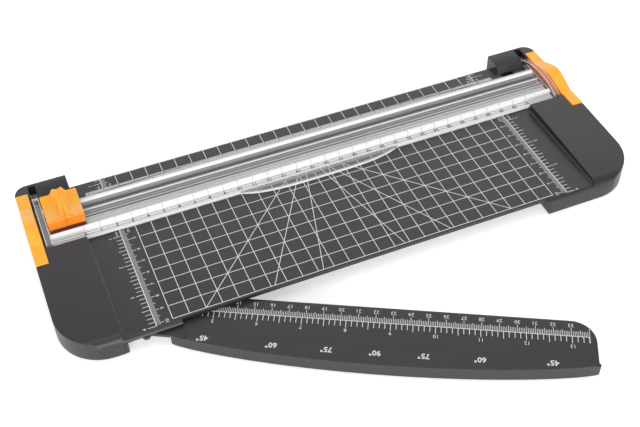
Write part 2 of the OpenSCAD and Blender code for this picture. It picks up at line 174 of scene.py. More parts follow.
table_mesh = bpy.data.meshes.new("table_sheet")
table_mesh.from_pydata(
    [(x * TABLE_HALF, y * TABLE_HALF, 0) for x, y in ((-1, -1), (1, -1), (1, 1), (-1, 1))],
    [], [(0, 1, 2, 3)],
)
table_mesh.materials.append(white_sheet())
table = bpy.data.objects.new("table_sheet", table_mesh)
scene.collection.objects.link(table)


def panel(name, place, width, depth, power, aim=(0.0, 0.0, 0.0)):
    """A large soft lamp, not seen through clear plastic."""
    lamp = bpy.data.lights.new(name, "AREA")
    lamp.shape = "RECTANGLE"
    lamp.size = width
    lamp.size_y = depth
    lamp.energy = power
    holder = bpy.data.objects.new(name, lamp)
    holder.location = place
    holder.rotation_euler = (Vector(aim) - Vector(place)).to_track_quat("-Z", "Y").to_euler()
    holder.visible_transmission = False
    scene.collection.objects.link(holder)


panel("back_panel", place=(0.5, 1.3, 0.88), width=2.2, depth=1.25, power=8.2)
panel("overhead_panel", place=(0.1, -0.2, 1.5), width=1.3, depth=1.3, power=6.4)
panel(
    "front_panel", place=(-0.5, -1.5, 0.45), width=1.6, depth=0.8, power=17.0, aim=(0.0, -0.05, 0.0)
)


# The base is one moulding of dark charcoal plastic with a fine spark-eroded grain.
# Its walls meet in small radii, and a strip of softer grey plastic is pressed into
# a groove of the mat, where the blade runs.

def new_group(name, inputs, outputs):
    """An empty node group: its tree, the sockets of what it is given and of what it makes."""
    tree = bpy.data.node_groups.new(name, "ShaderNodeTree")
    for label, value in inputs.items():
        kind = "NodeSocketFloat" if isinstance(value, float) else "NodeSocketColor"
        socket = tree.interface.new_socket(name=label, in_out="INPUT", socket_type=kind)
        socket.default_value = value
    for label, kind in outputs.items():
        tree.interface.new_socket(name=label, in_out="OUTPUT", socket_type=kind)
    given = tree.nodes.new("NodeGroupInput").outputs
    made = tree.nodes.new("NodeGroupOutput").inputs
    return tree, given, made


def noise(tree, scale, detail=2.0, place=None):
    """A cloudy value that changes over the surface."""
    cloud = tree.nodes.new("ShaderNodeTexNoise")
    feed(tree, cloud.inputs["Scale"], scale)
    cloud.inputs["Detail"].default_value = detail
    if place is not None:
        tree.links.new(place, cloud.inputs["Vector"])
    return cloud.outputs["Fac"]


def toned(tree, colour, tone):
    """A colour made lighter or darker."""
    scaled = tree.nodes.new("ShaderNodeVectorMath")
    scaled.operation = "SCALE"
    tree.links.new(colour, scaled.inputs[0])
    tree.links.new(tone, scaled.inputs["Scale"])
    return scaled.outputs["Vector"]


def mixed(tree, share, one, other):
    """A mix of two colours: share is how much of the second one shows."""
    mix = tree.nodes.new("ShaderNodeMix")
    mix.data_type = "RGBA"
    tree.links.new(share, mix.inputs["Factor"])
    feed(tree, mix.inputs["A"], one)
    feed(tree, mix.inputs["B"], other)
    return mix.outputs["Result"]


FLOW_SCALE, SPECK_SCALE = 14.0, 420.0
SPECK_RIM, SPECK_MIDDLE = 0.11, 0.05
DUSTLESS, DUSTY = 0.56, 0.7
FLOW_TONES = (0.92, 1.08)
GRAIN_ROUGHENS = 0.12


def moulded_grain():
    """Colour, roughness and height of a moulded plastic skin: grain, flow and a little dust."""
    tree, given, made = new_group(
        "moulded_grain",
        {
            "Colour": (0.1, 0.1, 0.1, 1.0), "Dust Colour": (0.4, 0.4, 0.4, 1.0),
            "Dust Amount": 0.1, "Grain Size": 2500.0, "Roughness": 0.4,
        },
        {"Colour": "NodeSocketColor", "Roughness": "NodeSocketFloat", "Height": "NodeSocketFloat"},
    )
    place = tree.nodes.new("ShaderNodeTexCoord").outputs["Object"]
    grain = noise(tree, given["Grain Size"], detail=3.0, place=place)
    flow = noise(tree, FLOW_SCALE, detail=5.0, place=place)
    specks = tree.nodes.new("ShaderNodeTexVoronoi")
    specks.inputs["Scale"].default_value = SPECK_SCALE
    tree.links.new(place, specks.inputs["Vector"])
    speck = remapped(tree, specks.outputs["Distance"], (SPECK_RIM, SPECK_MIDDLE))
    patches = remapped(tree, flow, (DUSTLESS, DUSTY))
    dust = sum_of(tree, "MULTIPLY", speck, patches)
    dust_share = sum_of(tree, "MULTIPLY", dust, given["Dust Amount"])
    plain = toned(tree, given["Colour"], remapped(tree, flow, to=FLOW_TONES))
    dusted = mixed(tree, dust_share, plain, given["Dust Colour"])
    worn = sum_of(tree, "MULTIPLY_ADD", grain, GRAIN_ROUGHENS, given["Roughness"])
    tree.links.new(dusted, made["Colour"])
    tree.links.new(worn, made["Roughness"])
    tree.links.new(grain, made["Height"])
    return tree


grain_group = moulded_grain()


def moulded_plastic(name, colour, roughness, grain=2500.0, depth=0.02, dust=0.25, plain=None):
    """A plastic whose skin comes from the grain group; plain holds the shader's own numbers."""
    material, tree, shader = new_finish(name)
    skin = tree.nodes.new("ShaderNodeGroup")
    skin.node_tree = grain_group
    fill(skin, {
        "Colour": (*colour, 1.0), "Dust Amount": dust, "Grain Size": grain, "Roughness": roughness,
    })
    fill(shader, plain or {})
    bump = tree.nodes.new("ShaderNodeBump")
    bump.inputs["Distance"].default_value = depth * MM
    tree.links.new(skin.outputs["Height"], bump.inputs["Height"])
    tree.links.new(skin.outputs["Colour"], shader.inputs["Base Color"])
    tree.links.new(skin.outputs["Roughness"], shader.inputs["Roughness"])
    tree.links.new(bump.outputs["Normal"], shader.inputs["Normal"])
    return material


def dress(node, material):
    """A CAD node that keeps its own shape gets its finish."""
    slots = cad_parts[node].data.materials
    slots.clear()
    slots.append(material)


WELD = 0.004
FLAT_WITHIN = 0.6
FARTHEST_OFF = 0.7


def soft_edged(name, node, body, radius, steps=2, least_angle=25.0, shade=40.0):
    """The node's own shape with its sharp edges rounded, close to its surface, standing for it."""
    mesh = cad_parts[node].data.copy()
    mesh.name = name
    mesh.materials.clear()
    lowest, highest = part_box(node)
    form = bmesh.new()
    form.from_mesh(mesh)
    bmesh.ops.remove_doubles(form, verts=form.verts, dist=WELD * MM)
    bmesh.ops.dissolve_limit(
        form, angle_limit=math.radians(FLAT_WITHIN), verts=form.verts, edges=form.edges
    )
    skin = BVHTree.FromBMesh(form)
    sharp = [
        e for e in form.edges
        if len(e.link_faces) == 2 and e.calc_face_angle(0.0) > math.radians(least_angle)
    ]
    bmesh.ops.bevel(
        form, geom=sharp, offset=radius * MM, offset_type="OFFSET", segments=steps,
        profile=0.5, affect="EDGES", clamp_overlap=False, loop_slide=True,
    )
    for point in form.verts:
        nearest, _, _, away = skin.find_nearest(point.co)
        if away > FARTHEST_OFF * radius * MM:
            point.co = nearest
        for axis in range(3):
            point.co[axis] = min(max(point.co[axis], lowest[axis]), highest[axis])
    bmesh.ops.recalc_face_normals(form, faces=form.faces)
    form.to_mesh(mesh)
    form.free()
    mesh.shade_smooth()
    mesh.set_sharp_from_angle(angle=math.radians(shade))
    piece = bpy.data.objects.new(name, mesh)
    scene.collection.objects.link(piece)
    flat = piece.modifiers.new("flat_faces_stay_flat", "WEIGHTED_NORMAL")
    flat.weight = 100
    flat.keep_sharp = True
    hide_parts(node)
    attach(piece, body)
    return piece


charcoal_skin = moulded_plastic(
    "charcoal_skin", (0.0175, 0.0150, 0.0185), roughness=0.33, plain={"Specular IOR Level": 0.6}
)
base = soft_edged(
    "base_moulding", "base_shell", "base", radius=0.4, least_angle=42.0, shade=44.0
)
base.data.materials.append(charcoal_skin)

strip_skin = moulded_plastic("strip_skin", (0.16, 0.16, 0.165), roughness=0.5, grain=1500.0)
dress("cutting_strip", strip_skin)


# The mat is printed in white and grey ink: a centimetre grid, a fan of angles and
# a centimetre and an inch scale down each side, on hatched bands. The ink is
# pressed on and lies on the plastic as a thin film.

INK_THICK = 0.03
BOLDER = 0.022
DIGIT_HIGH = 0.729
glyph_shapes = {}


def glyph_shape(words, bold):
    """Points and faces of some words in the plain typeface, 1 high, centred, with a thickness."""
    if (words, bold) not in glyph_shapes:
        curve = bpy.data.curves.new("words", "FONT")
        curve.body = words
        curve.resolution_u = 2
        curve.extrude = 0.5
        curve.offset = BOLDER if bold else 0.0
        holder = bpy.data.objects.new("words", curve)
        scene.collection.objects.link(holder)
        seen = holder.evaluated_get(bpy.context.evaluated_depsgraph_get())
        mesh = bpy.data.meshes.new_from_object(seen)
        points = [v.co.copy() for v in mesh.vertices]
        faces = [tuple(p.vertices) for p in mesh.polygons]
        bpy.data.objects.remove(holder)
        bpy.data.curves.remove(curve)
        bpy.data.meshes.remove(mesh)
        middle = (min(p.x for p in points) + max(p.x for p in points)) / 2
        for p in points:
            p.x = (p.x - middle) / DIGIT_HIGH
            p.y = p.y / DIGIT_HIGH - 0.5
        glyph_shapes[words, bold] = points, faces
    return glyph_shapes[words, bold]


def closed_piece(name, body, points, faces, material):
    """A closed piece from points in metres, riding on a body."""
    mesh = bpy.data.meshes.new(name)
    mesh.from_pydata(points, [], faces)
    form = bmesh.new()
    form.from_mesh(mesh)
    bmesh.ops.remove_doubles(form, verts=form.verts, dist=WELD / 2 * MM)
    bmesh.ops.recalc_face_normals(form, faces=form.faces)
    form.to_mesh(mesh)
    form.free()
    mesh.materials.append(material)
    piece = bpy.data.objects.new(name, mesh)
    scene.collection.objects.link(piece)
    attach(piece, body)
    return piece


class PrintSheet:
    """Collects printed lines and words in one plane, in millimetres, and prints them."""

    def __init__(self):
        self.points = []
        self.faces = []

    def add(self, points, faces):
        """Adds a shape that has its own count of points."""
        first = len(self.points)
        self.points += points
        self.faces += [tuple(first + i for i in f) for f in faces]

    def line(self, x0, y0, x1, y1, wide, thick=INK_THICK):
        """Adds a straight line from one place to another."""
        along = Vector((x1 - x0, y1 - y0, 0)).normalized()
        aside = Vector((-along.y, along.x, 0)) * wide / 2
        ends = (Vector((x0, y0, 0)), Vector((x1, y1, 0)))
        up = Vector((0, 0, thick))
        low = [ends[0] - aside, ends[1] - aside, ends[1] + aside, ends[0] + aside]
        self.add(
            low + [p + up for p in low],
            [(3, 2, 1, 0), (4, 5, 6, 7), (0, 1, 5, 4), (1, 2, 6, 5), (2, 3, 7, 6), (3, 0, 4, 7)],
        )

    def words(self, words, x, y, high, turn=0.0, bold=False, level=0.0):
        """Adds some words round a place, turned in their plane."""
        points, faces = glyph_shape(words, bold)
        spin = Matrix.Rotation(math.radians(turn), 3, "Z")
        self.add(
            [
                spin @ Vector((p.x * high, p.y * high, 0))
                + Vector((x, y, level + (p.z + 0.5) * INK_THICK))
                for p in points
            ],
            faces,
        )

    def printed(self, name, body, place, material):
        """The collected print as one piece; place takes the plane to the model, in metres."""
        return closed_piece(name, body, [place @ p for p in self.points], self.faces, material)


def tick_length(count, lengths):
    """A tick's length from pairs of a step and a length, the widest step first."""
    return next(length for step, length in lengths if count % step == 0)


def ink(name, colour, roughness=0.5, plain=None):
    """A dried ink: smoother than the plastic below it, and clean."""
    return moulded_plastic(name, colour, roughness, depth=0.008, dust=0.0, plain=plain)


white_ink = ink("white_ink", (0.72, 0.72, 0.73))
grey_ink = ink("grey_ink", (0.19, 0.185, 0.19))
pale_grey_ink = ink("pale_grey_ink", (0.27, 0.265, 0.27))

CUT_LEFT, MAT_TOP = -154.6, 13.0
mat_place = Matrix.Scale(MM, 4) @ Matrix.Translation((CUT_LEFT, 0, MAT_TOP))

GRID = 10
GRID_LEFT, GRID_RIGHT = 30, 280
GRID_FRONT, GRID_REAR = -100, 29.35
RAIL_FRONT, RAIL_REAR = -20, 17.6
RAIL_LINE_LEFT, RAIL_LINE_RIGHT = 22.8, 287
LINE_WIDE, OVERHANG = 0.42, 0.2
CROSS_THICK, FAN_THICK = 0.026, 0.034
FAN_X, FAN_START = 150.0, -15

grid = PrintSheet()
for x in range(GRID_LEFT, GRID_RIGHT + 1, GRID):
    grid.line(x, GRID_FRONT, x, RAIL_FRONT, LINE_WIDE, CROSS_THICK)
    grid.line(x, RAIL_REAR, x, GRID_REAR, LINE_WIDE, CROSS_THICK)
for y in (*range(GRID_FRONT, RAIL_FRONT, GRID), GRID_REAR):
    grid.line(GRID_LEFT - OVERHANG, y, GRID_RIGHT + OVERHANG, y, LINE_WIDE)
grid.line(RAIL_LINE_LEFT, RAIL_FRONT, RAIL_LINE_RIGHT, RAIL_FRONT, LINE_WIDE)
for degrees in (45, 60, 75, 105, 120, 135):
    slant = 1 / math.tan(math.radians(degrees))
    grid.line(
        FAN_X + FAN_START * slant, FAN_START, FAN_X + GRID_FRONT * slant, GRID_FRONT,
        LINE_WIDE, FAN_THICK,
    )
grid.printed("grid_print", "base", mat_place, white_ink)

SIDE_LINES = ((-1, 19.95), (1, 289.6))
SIDE_FRONT, SIDE_LINE_WIDE, TICK_WIDE = -101.6, 0.55, 0.35
BAND_AWAY, BAND_WIDE, BAND_THICK = 1.6, 2.6, 0.02
HATCH_START, HATCH_STEP, HATCH_SLANT = 4.2, 1.3, 3.8
HATCH_HALF, HATCH_WIDE = 1.25, 0.36
HALF_CM = 5.0
HALF_CM_COUNTS, EIGHTH_COUNTS = range(-20, 7), range(-32, 10)
CM_TICKS = ((2, 2.0), (1, 1.2))
CM_GAP = (-20, 19)
CM_NUMBER_AWAY, CM_NUMBER_HIGH = 3.7, 2.3
CM_WORD_AWAY, CM_WORD_HIGH = 1.8, 2.0
INCH = 25.4
EIGHTH = INCH / 8
INCH_TICKS = ((4, 5.1), (1, 3.9))
INCH_GAP = (-23, 25)
INCH_NUMBER_AWAY, INCH_NUMBER_HIGH = 7.1, 2.2
INCH_WORD_AWAY, INCH_WORD_HIGH = 2.6, 1.7
WORD_ROWS = (-22.6, 21.6)

scales, bands, hatching = PrintSheet(), PrintSheet(), PrintSheet()
for side, edge in SIDE_LINES:
    band = edge - side * BAND_AWAY
    band_end = band - side * BAND_WIDE / 2
    for y0, y1 in ((SIDE_FRONT, RAIL_FRONT + 1), (RAIL_REAR, GRID_REAR + OVERHANG)):
        scales.line(edge, y0, edge, y1, SIDE_LINE_WIDE)
        bands.line(band, y0 + OVERHANG, band, y1, BAND_WIDE, BAND_THICK)
        y = y0 + HATCH_START
        while y < y1:
            hatching.line(band - HATCH_HALF, y, band + HATCH_HALF, y - HATCH_SLANT, HATCH_WIDE)
            y += HATCH_STEP
    for count in HALF_CM_COUNTS:
        y = count * HALF_CM
        if CM_GAP[0] < y < CM_GAP[1]:
            continue
        y = min(y, GRID_REAR)
        scales.line(band_end, y, band_end - side * tick_length(count, CM_TICKS), y, TICK_WIDE)
        if count % 2 == 0 and y != RAIL_FRONT:
            number = str(abs(count) // 2)
            scales.words(number, band_end - side * CM_NUMBER_AWAY, y, CM_NUMBER_HIGH, turn=90.0)
    for count in EIGHTH_COUNTS:
        y = count * EIGHTH
        if INCH_GAP[0] < y < INCH_GAP[1]:
            continue
        scales.line(edge, y, edge + side * tick_length(count, INCH_TICKS), y, TICK_WIDE)
        if count % 8 == 0:
            number = str(abs(count) // 8)
            scales.words(number, edge + side * INCH_NUMBER_AWAY, y, INCH_NUMBER_HIGH, turn=90.0)
    for y in WORD_ROWS:
        scales.words("inch", edge + side * INCH_WORD_AWAY, y, INCH_WORD_HIGH, turn=90.0)
        scales.words("cm", band_end - side * CM_WORD_AWAY, y, CM_WORD_HIGH, turn=90.0)

scales.printed("side_scale_print", "base", mat_place, white_ink)
bands.printed("side_band_print", "base", mat_place, grey_ink)
hatching.printed("side_hatch_print", "base", mat_place, pale_grey_ink)


# The end caps are moulded in glossy orange plastic that lets a little light
# through. Each one is let into the end of the base, and two screws from below
# hold it.

def glossy_orange(name, colour):
    """A smooth orange plastic that light enters to a few millimetres."""
    return moulded_plastic(
        name, colour, roughness=0.26, grain=900.0, depth=0.006, dust=0.1,
        plain={
            "Subsurface Weight": 0.35, "Subsurface Radius": (1.0, 0.45, 0.1),
            "Subsurface Scale": 3.0 * MM, "Coat Weight": 0.1, "Coat Roughness": 0.1,
        },
    )


def deepen(material, axis, start, full, deep):
    """Painted shade: the orange is deeper in the walls that stand across an axis, where less light
    falls.
    """
    tree = material.node_tree
    skin = next(n for n in tree.nodes if n.type == "GROUP").inputs["Colour"]
    facing = tree.nodes.new("ShaderNodeSeparateXYZ")
    tree.links.new(tree.nodes.new("ShaderNodeTexCoord").outputs["Normal"], facing.inputs["Vector"])
    share = remapped(tree, sum_of(tree, "ABSOLUTE", facing.outputs[axis]), (start, full))
    tree.links.new(mixed(tree, share, skin.default_value, (*deep, 1.0)), skin)


cap_orange = glossy_orange("cap_orange", (1.0, 0.45, 0.015))
# The caps' end walls, which face along the cutter, get a painted shade of deeper orange.
deepen(cap_orange, "X", start=0.3, full=0.9, deep=(1.0, 0.22, 0.02))
for side in ("left", "right"):
    cap = soft_edged("cap_" + side, "end_cap_" + side, "base", radius=0.5, steps=3, shade=32.0)
    cap.data.materials.append(cap_orange)


# The small metal pieces are bright steel: the caps' screws, the rail's two hinge
# pins, the ruler's screw and washer, and the ground blade with its rivet. They
# are turned or pressed, so their gloss changes a little over the surface.

STEEL_COLOUR = (0.62, 0.63, 0.65, 1.0)
STEEL_ROUGHNESS = (0.22, 0.42)

bright_steel, steel_tree, steel_shader = new_finish("bright_metal")
fill(steel_shader, {"Metallic": 1.0, "Base Color": STEEL_COLOUR})
steel_tree.links.new(
    remapped(steel_tree, noise(steel_tree, scale=900.0), to=STEEL_ROUGHNESS),
    steel_shader.inputs["Roughness"],
)
for node in ("cap_screws", "hinge_pin_left", "hinge_pin_right", "ruler_screw", "ruler_washer",
             "blade", "blade_rivet"):
    dress(node, bright_steel)


# Five feet of black rubber sit in round pockets of the base, pressed in from
# below, and keep the cutter from sliding on the table.

foot_rubber = moulded_plastic(
    "foot_rubber", (0.02, 0.02, 0.02), roughness=0.75, grain=1800.0, depth=0.05
)
for node in ("foot_front_left", "foot_front_right", "foot_rear_left", "foot_rear_right",
             "foot_middle"):
    dress(node, foot_rubber)


# The ruler is a thin charcoal moulding with a skirt along its bowed outer edge.
# It turns on a boss below the left front corner of the mat, and white ink on it
# gives centimetres, inches and the angles of the fan.

ruler = soft_edged("ruler_moulding", "swing_ruler", "ruler", radius=0.35)
ruler.data.materials.append(charcoal_skin)

PIVOT = (-131.1, -86.7)
RULER_SWING = -28.47
RULER_TOP = 9.6
RULER_ZERO = -93.0
SCALE_START, SCALE_END = 108, 340
BASE_LINE, BASE_LINE_WIDE, BASE_LINE_THICK = 1.35, 0.4, 0.026
MM_TICKS, MM_TICK_WIDE = ((10, 5.7), (5, 4.4), (1, 3.5)), 0.3
EIGHTH_TICKS, EIGHTH_TICK_WIDE = ((4, 5.1), (1, 4.0)), 0.38
END_TICK = 4.2
CM_NUMBER_UP, INCH_NUMBER_DOWN, NUMBER_HIGH = 7.4, 7.2, 2.5
RAISED_BAND = 0.8
ANGLE_HIGH = 3.6
ANGLES = ((45, 30.6, -19.1), (60, 69.9, -20.6), (75, 100.9, -20.9), (90, 128.0, -20.9),
          (75, 154.9, -20.7), (60, 185.9, -20.4), (45, 225.5, -19.0))

ruler_place = (
    Matrix.Scale(MM, 4)
    @ Matrix.Translation((*PIVOT, RULER_TOP))
    @ Matrix.Rotation(math.radians(RULER_SWING), 4, "Z")
)
ruler_print = PrintSheet()
scale_ends = RULER_ZERO + SCALE_START, RULER_ZERO + SCALE_END
ruler_print.line(scale_ends[0], BASE_LINE, scale_ends[1], BASE_LINE, BASE_LINE_WIDE, BASE_LINE_THICK)
for reading in range(SCALE_START, SCALE_END + 1):
    x = RULER_ZERO + reading
    ruler_print.line(x, BASE_LINE, x, BASE_LINE + tick_length(reading, MM_TICKS), MM_TICK_WIDE)
    if reading % 10 == 0 and reading < SCALE_END:
        ruler_print.words(str(reading // 10), x, BASE_LINE + CM_NUMBER_UP, NUMBER_HIGH, turn=180.0)
for count in range(math.ceil(SCALE_START / EIGHTH), int(SCALE_END / EIGHTH) + 1):
    x = RULER_ZERO + count * EIGHTH
    low = BASE_LINE - tick_length(count, EIGHTH_TICKS)
    ruler_print.line(x, BASE_LINE, x, low, EIGHTH_TICK_WIDE)
    if count % 8 == 0:
        ruler_print.words(
            str(count // 8), x, BASE_LINE - INCH_NUMBER_DOWN, NUMBER_HIGH, turn=180.0
        )
ruler_print.line(scale_ends[1], BASE_LINE, scale_ends[1], BASE_LINE - END_TICK, EIGHTH_TICK_WIDE)
for degrees, x, y in ANGLES:
    ruler_print.words(
        str(degrees) + "°", x, y, ANGLE_HIGH, turn=180.0, bold=True, level=RAISED_BAND
    )
ruler_print.printed("ruler_print", "ruler", ruler_place, white_ink)


# The rail is an extrusion of clear plastic that holds the sheet down. Its beads and
# flanges are satin, its channels and its finger lip are clear, its end plates are
# glued on, and its centimetres are printed in dark ink. The satin is paler or
# greyer band by band, partly to stand for light and shade: a painted highlight on
# the beads, the rib's crest and the front edges, painted shade along the channel
# and a painted shadow in the gap beside the rib.

LINES_ALONG, LINES_ACROSS = 1.2, 1100.0
LINE_START, LINE_FULL = 0.36, 0.56


def drawn_lines():
    """Colour and roughness of the fine lines that drawing leaves along an extrusion."""
    tree, given, made = new_group(
        "drawn_lines",
        {
            "Colour": (0.9, 0.9, 0.9, 1.0), "Darkest Line": 0.7, "Roughness": 0.1,
            "Roughness Range": 0.05,
        },
        {"Colour": "NodeSocketColor", "Roughness": "NodeSocketFloat"},
    )
    stretch = tree.nodes.new("ShaderNodeMapping")
    stretch.inputs["Scale"].default_value = (LINES_ALONG, LINES_ACROSS, LINES_ACROSS)
    tree.links.new(
        tree.nodes.new("ShaderNodeTexCoord").outputs["Object"], stretch.inputs["Vector"]
    )
    drawn = noise(tree, 1.0, place=stretch.outputs["Vector"])
    tone = remapped(tree, drawn, (LINE_START, LINE_FULL), (given["Darkest Line"], 1.0))
    tree.links.new(toned(tree, given["Colour"], tone), made["Colour"])
    rough = sum_of(tree, "MULTIPLY_ADD", drawn, given["Roughness Range"], given["Roughness"])
    tree.links.new(rough, made["Roughness"])
    return tree


drawn_group = drawn_lines()


def drawn_plastic(name, tint, roughness, darkest_line, plain):
    """A plastic with the drawn lines on it; plain holds the shader's own numbers."""
    material, tree, shader = new_finish(name)
    fill(shader, {"IOR": 1.49, **plain})
    skin = tree.nodes.new("ShaderNodeGroup")
    skin.node_tree = drawn_group
    fill(skin, {
        "Colour": (*tint, 1.0), "Darkest Line": darkest_line, "Roughness": roughness,
        "Roughness Range": 0.04,
    })
    tree.links.new(skin.outputs["Colour"], shader.inputs["Base Color"])
    tree.links.new(skin.outputs["Roughness"], shader.inputs["Roughness"])
    return material


FAINT_SHADOW = 0.3


def satin_plastic(name, tint, roughness, through, darkest_line=0.7):
    """Satin clear plastic: through is the share it lets through, and its shadow is faint."""
    material = drawn_plastic(name, tint, roughness, darkest_line, {"Transmission Weight": through})
    tree = material.node_tree
    shadow_ray = tree.nodes.new("ShaderNodeLightPath").outputs["Is Shadow Ray"]
    lets_by = remapped(tree, shadow_ray, to=(1.0, FAINT_SHADOW))
    tree.links.new(lets_by, tree.nodes["Principled BSDF"].inputs["Alpha"])
    return material


def thin_clear_plastic(name, haze):
    """Flat clear plastic, which doesn't bend the view: haze is the share that it hides."""
    return drawn_plastic(
        name, (0.95, 0.95, 0.955), roughness=0.12, darkest_line=0.8, plain={"Alpha": haze}
    )


CLEAR, LIP, RIM, PAINTED_SHADOW, PAINTED_SHADE, HAZY, SATIN, PALE, PAINTED_HIGHLIGHT = range(9)
rail_plastics = (
    thin_clear_plastic("rail_clear", haze=0.05),
    thin_clear_plastic("rail_lip", haze=0.14),
    thin_clear_plastic("rail_rim", haze=0.36),
    # The near-black plastic is a painted shadow: the dark line in the gap beside the rib.
    satin_plastic("rail_painted_shadow", (0.03, 0.03, 0.032), roughness=0.3, through=0.3),
    # The grey plastic is a painted shade: the dark channel and the darker lines beside the ribs.
    satin_plastic("rail_painted_shade", (0.62, 0.62, 0.64), roughness=0.2, through=0.55),
    satin_plastic("rail_hazy", (0.92, 0.92, 0.93), roughness=0.22, through=0.56),
    satin_plastic("rail_satin", (0.92, 0.92, 0.93), roughness=0.25, through=0.5),
    satin_plastic("rail_pale", (0.97, 0.97, 0.975), roughness=0.25, through=0.3),
    # The whitest plastic is a painted highlight where the beads and the rib's crest catch the light.
    satin_plastic("rail_painted_highlight", (1.0, 1.0, 1.0), roughness=0.25, through=0.1, darkest_line=0.85),
)

# From front to rear: what lies in front of a place across the rail and below a
# height has a plastic, unless an earlier row took it. The rows are lit and shaded
# copies of one clear plastic: painted highlights, painted shade and a painted
# shadow, with satin, hazy and pale steps between them.
HIGHER = 99.0
RIB_SIDE, RIB_CREST = 16.1, 16.9
RAIL_BANDS = (
    (-20.05, HIGHER, LIP), (-14.6, HIGHER, PALE), (-13.0, HIGHER, PAINTED_HIGHLIGHT), (-5.9, HIGHER, PALE),
    (-4.9, RIB_CREST, SATIN), (-5.05, HIGHER, SATIN), (-4.05, HIGHER, PAINTED_SHADOW), (1.9, HIGHER, HAZY),
    (2.15, RIB_SIDE, PAINTED_SHADE), (2.15, RIB_CREST, PAINTED_HIGHLIGHT), (3.3, HIGHER, PAINTED_SHADE), (7.5, HIGHER, CLEAR),
    (8.75, HIGHER, PAINTED_SHADE), (10.7, HIGHER, PAINTED_HIGHLIGHT), (11.6, HIGHER, PALE), (HIGHER, HIGHER, SATIN),
)
BAND_CUTS = (-13.0, -5.05, -4.05, 8.75, 10.7, 11.6)
LIP_END = 55.0
LIP_FRONT, FLANGE_FRONT, RIM_FRONT = -20.1, -19.7, -21.0
RIM_WIDE = 0.8
RAIL_FLOOR = 13.25
LEANS_FORWARD, STANDS_FORWARD, LIES_FLAT = -0.3, -0.5, 0.9


def band_of(middle, normal):
    """Which plastic a face of the rail shows, from its place across the rail in millimetres."""
    if middle.z < RAIL_FLOOR:
        return CLEAR
    # Edges that lean or stand forward get the painted highlight.
    if normal.y < LEANS_FORWARD and middle.y < LIP_FRONT:
        return PAINTED_HIGHLIGHT
    if normal.y < STANDS_FORWARD and middle.y < FLANGE_FRONT:
        return LIP if abs(middle.x) < LIP_END else PAINTED_HIGHLIGHT
    return next(
        plastic for front, high, plastic in RAIL_BANDS if middle.y < front and middle.z < high
    )


def band_rail(mesh):
    """Cuts the rail's faces along its bands and gives each its plastic."""
    form = bmesh.new()
    form.from_mesh(mesh)
    cuts = [((0, y * MM, 0), (0, 1, 0)) for y in BAND_CUTS]
    cuts += [((x * MM, 0, 0), (1, 0, 0)) for x in (-LIP_END, LIP_END)]
    cuts.append(((0, 0, RIB_SIDE * MM), (0, 0, 1)))
    for place, way in cuts:
        whole = form.verts[:] + form.edges[:] + form.faces[:]
        bmesh.ops.bisect_plane(form, geom=whole, plane_co=place, plane_no=way, dist=1e-6)
    lip_top = max(
        (f for f in form.faces
         if f.normal.z > LIES_FLAT and f.calc_center_median().y < LIP_FRONT * MM),
        key=lambda f: f.calc_area(),
    )
    # A pale ring and a hazy ring along the finger lip's front rim are a painted highlight on its
    # edge.
    rings = []
    for plastic in (PALE, RIM):
        ring = bmesh.ops.inset_individual(form, faces=[lip_top], thickness=RIM_WIDE * MM)["faces"]
        rings.append((ring, plastic))
    for face in form.faces:
        face.material_index = band_of(face.calc_center_median() / MM, face.normal)
    for ring, plastic in rings:
        for face in ring:
            if face.calc_center_median().y < RIM_FRONT * MM:
                face.material_index = plastic
    form.to_mesh(mesh)
    form.free()


END_SIDE, END_ROUNDING = 0.9, 0.2

for node, rounding in (("rail_bar", 0.2), ("rail_end_left", 0.45), ("rail_end_right", 0.45)):
    piece = soft_edged("clear_" + node, node, "rail", radius=rounding, shade=50.0)
    for plastic in rail_plastics:
        piece.data.materials.append(plastic)
    if node == "rail_bar":
        band_rail(piece.data)
    else:
        # The end plates' rounded edges get the painted highlight; their flat sides stay clear.
        for face in piece.data.polygons:
            sideways = abs(face.normal.x)
            if sideways > END_SIDE:
                face.material_index = CLEAR
            else:
                face.material_index = PAINTED_HIGHLIGHT if sideways > END_ROUNDING else LIP

RAIL_TOP = 15.0
RAIL_LENGTH = 310
BEAD_Y, BEAD_UP, BEAD_ROUND = -13.0, 1.9, 1.53
BEAD_ENDS, BEAD_ARC = (-16.0, -9.4), range(160, 19, -20)
CM_LINE_WIDE, RAIL_TICK_WIDE, REAR_TICK_WIDE = 0.15, 0.16, 0.3
HALF_TICK, FINE_TICK, REAR_TICK = (-15.9, -14.6), (0.5, 1.7), (16.2, 18.2)
RAIL_NUMBER_Y = -17.2

dark_ink = ink("dark_ink", (0.02, 0.02, 0.022), roughness=0.6, plain={"Specular IOR Level": 0.2})
rail_place = Matrix.Scale(MM, 4) @ Matrix.Translation((CUT_LEFT, 0, RAIL_TOP))
rail_print = PrintSheet()


